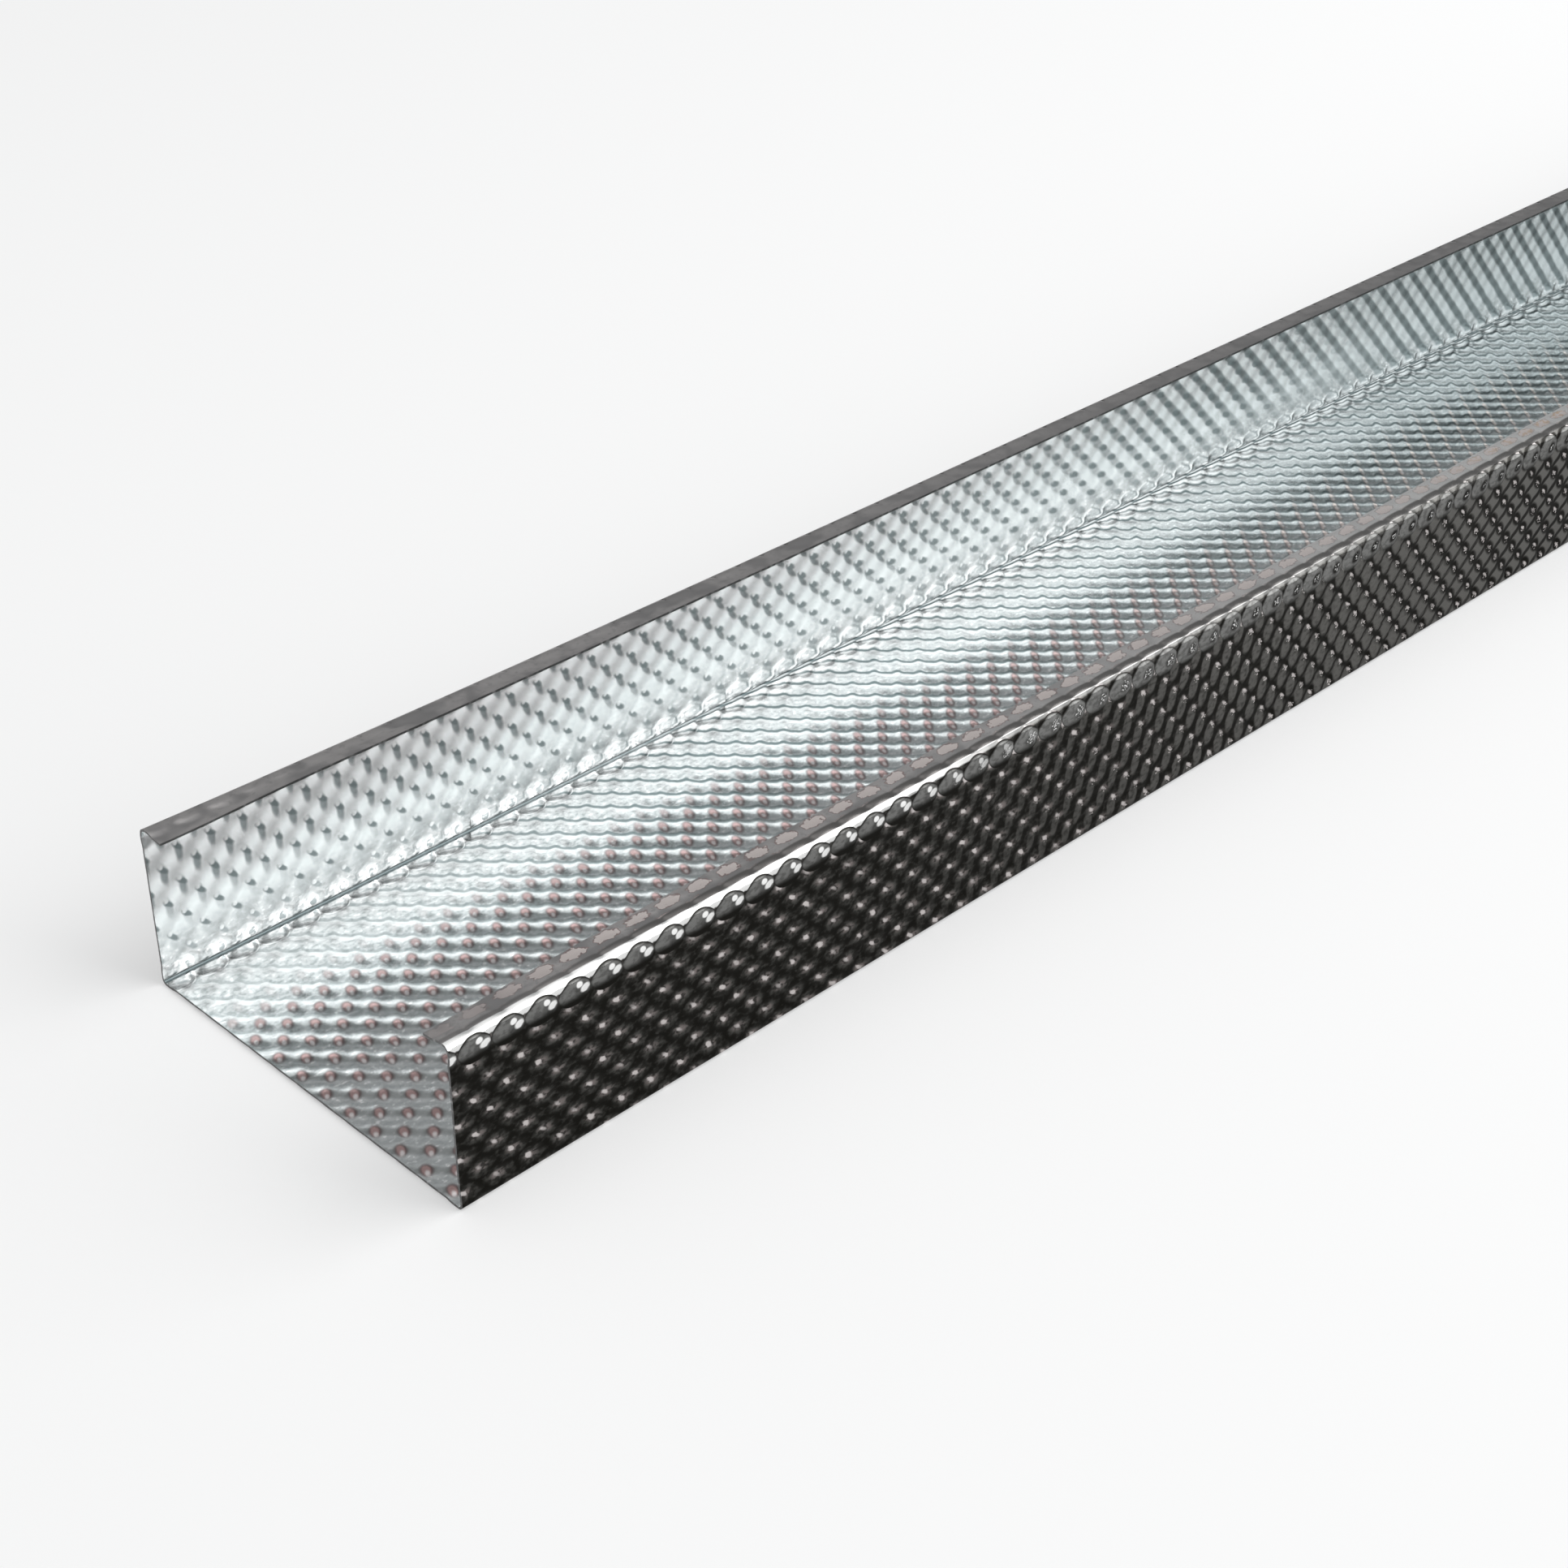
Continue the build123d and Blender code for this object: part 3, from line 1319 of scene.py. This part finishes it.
        # Painted glints on each dome.
        early = paint.by_along(*self.dome_spark_fall)
        for right, up, size in self.dome_sparks:
            spark = paint.dome(middle=row + up, width=size, height=0.8 * size, softness=0.5, shift=shift,
                               right=right)
            paint.lay(self.bright, spark, early)
        size = paint.by_along(0.14, 0.32, 0.0016, 0.0009)
        patch = paint.dome(middle=row + 0.0001, width=size, height=size, softness=1.0, shift=shift,
                           right=0.0014)
        flakes = self.flakes(paint, patch, 1.44, 1.58)
        paint.lay(self.bright, flakes, paint.by_along(*self.dome_flake_zone, 0.0, 0.85))
        return outline

    def edge(self, paint: Paint, outline: Socket) -> None:
        """Paints the highlight along the lip bend as a bright edge, with cusps that reach down between the
        domes.

        Args:
            paint: The colour under way.
            outline: The mask of the domes.
        """
        # Painted highlight: white near the cut end, cream-grey farther along.
        edge = paint.blend(self.bright, self.cream, paint.by_along(*self.edge_fall))
        cusp = paint.total(paint.place["Across"], paint.by_along(0.07, 0.15, 0.0, 0.0013))
        cusp = paint.product(paint.ramp(cusp, *self.cusp_tips), paint.rest(outline))
        paint.lay(edge, cusp, paint.by_along(0.08, 0.15, 0.8, 0.12))
        limit = paint.by_along(0.0, 0.10, -0.0802, -0.0807)
        paint.lay(edge, paint.ramp(paint.math("SUBTRACT", paint.place["Across"], limit), 0.00005, -0.00025))

    def lips(self, paint: Paint) -> None:
        """Lays the grey lips over the ends of the strip, with painted reflection spots on the tall flange's
        lip, painted light farther along and a painted shade strip along the bend.

        Args:
            paint: The colour under way.
        """
        skin = Paint(paint.tree, self.effects, self.lip_dark)
        skin.lay(self.lip, skin.by_grain("Cloud", 0.36, 0.56))
        skin.lay(self.lip_dark, skin.by_grain("Speckle", 0.45, 0.25, 0.0, 0.5))
        plain = skin.blend(skin.tone, self.lip_dark, skin.by_along(*self.plain_lip_zone, 0.1, 0.6))
        paint.lay(plain, paint.by_across(*self.short_lip_start))
        # Painted light: the tall lip lighter farther along.
        skin.lay(self.bright, skin.by_along(*self.bright_lip_zone, 0.0, 0.75))
        # Painted reflection spots at the crowns: shaded rims and pale cores, with orange rims farther along.
        spots = skin.within(self.lip_spots)
        spot = skin.mark(right=0.0005, up=0.0002, width=0.0030, height=0.0015, softness=1.4)
        grains = skin.total(skin.product(skin.grain["Speckle"], 0.9), skin.product(skin.grain["Flake"], 0.3))
        rough = skin.total(spot, grains)
        rim, core = skin.ramp(rough, 1.10, 1.22), skin.ramp(rough, 1.24, 1.36)
        crown_glint = skin.product(spots, skin.by_along(-0.010, 0.035))
        skin.lay(self.reflection_rim, rim, crown_glint, skin.by_along(0.10, 0.30, 0.6, 0.3))
        skin.lay(self.pale, core, crown_glint, 0.9)
        warm = skin.product(spots, rim, skin.by_grain("Speckle", 0.52, 0.40))
        skin.lay(self.orange, warm, skin.by_along(*self.orange_zone), 0.9)
        # Painted shade strip along the bend.
        skin.lay(self.bend_shade, skin.within(self.bend_strip), skin.by_along(0.0, 0.05, 0.5, 0.9))
        start = paint.total(paint.place["Across"], paint.by_along(0.0, 0.10, 0.0, -0.0006))
        paint.lay(skin.tone, paint.ramp(start, *self.tall_lip_start))


@dataclass(frozen=True)
class CutFace(ZincFace):
    """The sheared edges, grey with brighter worn specks."""

    name: str = "sheared edge"
    ground: Colour = (0.12, 0.12, 0.12)
    worn: Colour = (0.3, 0.3, 0.3)
    roughness: float = 0.4

    def coat(self, paint: Paint) -> None:
        """Lays the worn specks over the grey."""
        paint.lay(self.worn, paint.by_grain("Speckle", 0.5, 0.8))


@dataclass
class Stud:
    """The whole stud: its spans and its finishes."""

    section: Section
    relief: Relief
    near_end: float
    length: float
    end_set: EndSet = EndSet()
    plans: tuple[SpanPlan, ...] = (
        SpanPlan("stud_span_1", -2, 9, 10, 8),
        SpanPlan("stud_span_2", 9, 19, 10, 8),
        SpanPlan("stud_span_3", 19, 43, 8, 6),
        SpanPlan("stud_span_4", 43, 67, 8, 6),
        SpanPlan("stud_span_5", 67, 153, 4, 4),
        SpanPlan("stud_span_6", 153, 239, 4, 4),
        SpanPlan("stud_span_7", 239, 326, 4, 4),
    )
    pieces: list[bpy.types.Object] = field(default_factory=list)

    def build(self) -> None:
        """Builds each span and puts it in the CAD node's place."""
        for plan in self.plans:
            span = StudSpan(plan, self.section, self.relief, self.end_set, self.near_end, self.length)
            piece = span.build()
            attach(piece, BODY)
            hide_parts(NODE)
            self.pieces.append(piece)
            log.info("%s has %d faces", piece.name, len(piece.data.polygons))

    def dress(self) -> None:
        """Gives every span the same three finishes."""
        effects = Effects(self.relief)
        faces = {Finish.INNER: InnerFace, Finish.OUTER: OuterFace, Finish.CUT: CutFace}
        for finish, face in faces.items():
            material = face(effects).make()
            for piece in self.pieces:
                piece.data.materials[finish.value] = material


@dataclass(frozen=True)
class Camera:
    """The photograph's viewpoint, set out from the near cut end of the stud."""

    near_end: float
    back: float = 0.20098
    aside: float = 0.32836
    height: float = 0.30561
    heading: float = math.radians(45.403)
    pitch_down: float = math.radians(32.532)
    lens: float = 60.505
    sensor: float = 36.0
    nearest: float = 0.01
    farthest: float = 100.0

    def build(self) -> bpy.types.Object:
        """Adds the camera and makes it the scene's own.

        Returns:
            The camera.
        """
        data = bpy.data.cameras.new("camera")
        data.lens = self.lens
        data.sensor_width = self.sensor
        data.clip_start, data.clip_end = self.nearest, self.farthest
        camera = bpy.data.objects.new("camera", data)
        bpy.context.scene.collection.objects.link(camera)
        camera.location = (self.near_end - self.back, -self.aside, self.height)
        camera.rotation_euler = (math.pi / 2 - self.pitch_down, 0.0, self.heading - math.pi / 2)
        bpy.context.scene.camera = camera
        return camera


@dataclass(frozen=True)
class Skylight:
    """A soft bright patch of the sky."""

    azimuth: float = math.radians(20.0)
    elevation: float = math.radians(82.0)
    full_reach: float = math.radians(13.0)
    fade_reach: float = math.radians(35.1)
    colour: Colour = (1.0, 1.0, 1.0)

    def way(self) -> Vector:
        """Gives the direction to the patch's middle."""
        level = Vector((math.cos(self.azimuth), math.sin(self.azimuth), math.tan(self.elevation)))
        return level * math.cos(self.elevation)


@dataclass(frozen=True)
class Softbox:
    """A square lamp that looks at the near end of the stud."""

    target: tuple[float, float, float]
    way: tuple[float, float, float] = (0.58, -0.56, 0.58)
    distance: float = 2.2
    size: float = 2.4
    power: float = 46.0

    def build(self) -> None:
        """Adds the lamp."""
        data = bpy.data.lights.new("softbox", "AREA")
        data.shape = "SQUARE"
        data.size = self.size
        data.energy = self.power
        lamp = bpy.data.objects.new("softbox", data)
        bpy.context.scene.collection.objects.link(lamp)
        way = Vector(self.way)
        lamp.location = Vector(self.target) + way.normalized() * self.distance
        lamp.rotation_mode = "QUATERNION"
        lamp.rotation_quaternion = way.to_track_quat("Z", "Y")
        lamp.visible_camera = False


@dataclass(frozen=True)
class Studio:
    """Floor, world and lamp."""

    floor_size: float = 60.0
    floor_colour: Colour = (0.6, 0.6, 0.6)
    floor_lift: float = 0.385
    horizon: Colour = (0.464, 0.471, 0.473)
    zenith: Colour = (0.424, 0.431, 0.433)
    skylight: Skylight = Skylight()
    softbox: Softbox = Softbox(target=(-1.0, 0.0, 0.0))

    def build(self) -> None:
        """Builds the floor, the world's light and the lamp."""
        self.floor()
        self.sky()
        self.softbox.build()

    def floor(self) -> None:
        """Builds the pale floor, which keeps the stud's shadow and looks paler than it lights."""
        bpy.ops.object.select_all(action="DESELECT")
        bpy.ops.mesh.primitive_plane_add(size=self.floor_size)
        floor = bpy.context.object
        floor.name = "floor"
        material = bpy.data.materials.new("floor")
        material.use_nodes = True
        graph = Graph(material.node_tree)
        shader = material.node_tree.nodes["Principled BSDF"]
        shader.inputs["Base Color"].default_value = (*self.floor_colour, 1.0)
        shader.inputs["Roughness"].default_value = 1.0
        shader.inputs["Specular IOR Level"].default_value = 0.0
        shader.inputs["Emission Color"].default_value = (1.0, 1.0, 1.0, 1.0)
        path = graph.node("ShaderNodeLightPath").outputs
        seen = graph.total(*(path[f"Is {kind} Ray"] for kind in ("Camera", "Glossy", "Transmission")))
        graph.put(shader.inputs["Emission Strength"], graph.product(seen, self.floor_lift))
        floor.data.materials.append(material)

    def sky(self) -> None:
        """Gives the world a soft gradient from the horizon up, with the skylight over the stud."""
        world = bpy.data.worlds.new("world")
        bpy.context.scene.world = world
        world.use_nodes = True
        graph = Graph(world.node_tree)
        way = graph.node("ShaderNodeTexCoord").outputs["Generated"]
        split = graph.node("ShaderNodeSeparateXYZ")
        graph.put(split.inputs[0], way)
        gradient = graph.node("ShaderNodeValToRGB")
        graph.put(gradient.inputs["Fac"], split.outputs["Z"])
        for stop, colour in zip(gradient.color_ramp.elements, (self.horizon, self.zenith)):
            stop.color = (*colour, 1.0)
        dot = graph.node("ShaderNodeVectorMath", operation="DOT_PRODUCT")
        graph.put(dot.inputs[0], way)
        dot.inputs[1].default_value = self.skylight.way()
        reach = (math.cos(self.skylight.fade_reach), math.cos(self.skylight.full_reach))
        patch = graph.ramp(dot.outputs["Value"], *reach)
        colour = graph.blend(gradient.outputs["Color"], self.skylight.colour, patch)
        graph.put(world.node_tree.nodes["Background"].inputs["Color"], colour)


def main() -> None:
    """Builds the stud, its studio and its camera."""
    logging.basicConfig(level=logging.INFO, format="%(name)s: %(message)s")
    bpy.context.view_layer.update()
    low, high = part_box(NODE)
    section = Section(half_web=high.y)
    relief = Relief(depth=section.relief_depth)
    stud = Stud(section, relief, near_end=low.x, length=high.x - low.x)
    stud.build()
    stud.dress()
    Camera(near_end=low.x).build()
    Studio().build()
    bpy.context.scene.view_settings.view_transform = "Standard"


if __name__ == "__main__":
    main()
